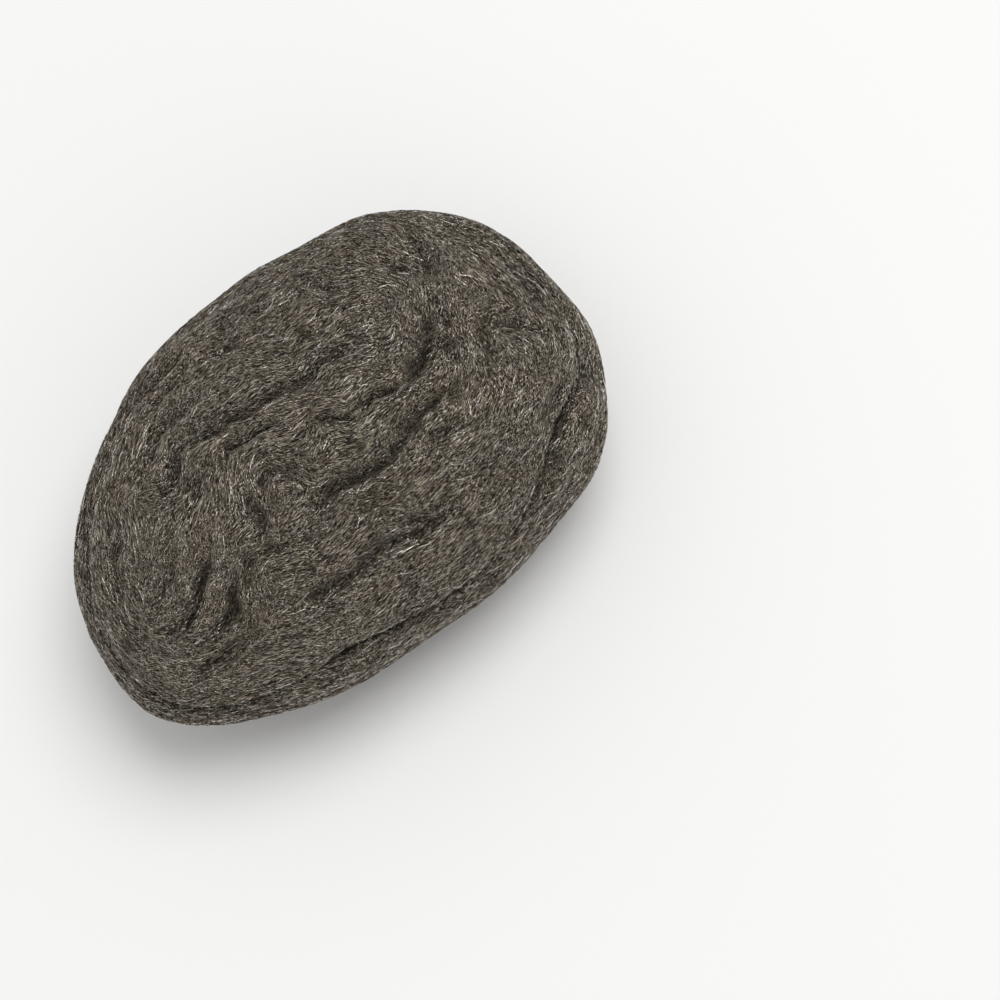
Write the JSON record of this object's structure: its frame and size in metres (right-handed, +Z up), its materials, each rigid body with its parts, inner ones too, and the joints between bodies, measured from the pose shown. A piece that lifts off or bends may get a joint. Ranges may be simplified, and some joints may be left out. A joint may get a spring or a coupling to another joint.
{
  "type": "steel wool pad",
  "caption": "Oval hand pad of fine steel wool, folded from a wound strand, for scouring, cleaning and smoothing by hand",
  "frame": {"origin": "middle of the pad's underside, on the floor that it lies on", "axes": "+X along the pad's length, +Y across its width, +Z up through its thickness, out of the folded face"},
  "size_m": [0.102, 0.073, 0.042],
  "materials": {
    "steel_wool": "matted fine steel fibres, dull dark grey-brown with small glints"
  },
  "bodies": {
    "root": {"steel_wool_pad": "steel_wool"}
  },
  "joints": []
}
